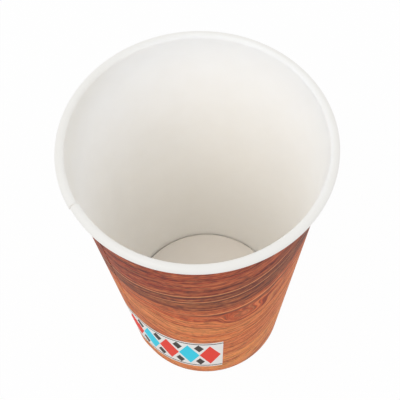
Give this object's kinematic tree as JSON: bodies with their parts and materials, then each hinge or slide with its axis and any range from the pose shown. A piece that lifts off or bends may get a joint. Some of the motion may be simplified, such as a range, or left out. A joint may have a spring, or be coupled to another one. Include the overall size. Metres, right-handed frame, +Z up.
{
  "type": "paper cup",
  "caption": "Tapered paper hot cup with a wood-grain printed board wall, a rolled white rim, a lapped side seam and a recessed bottom disc held in a hem",
  "frame": {"origin": "centre of the foot ring, on the plane the cup stands on", "axes": "+Z up along the axis of the cup, -Y towards the front of the picture, +X to its right"},
  "size_m": [0.0801, 0.0799, 0.115],
  "materials": {
    "printed_board": "wood-grain print outside, white coated board inside and on the rim, satin",
    "white_board": "white coated board, satin"
  },
  "bodies": {
    "root": {"sidewall": "printed_board", "bottom_disc": "white_board"}
  },
  "joints": []
}
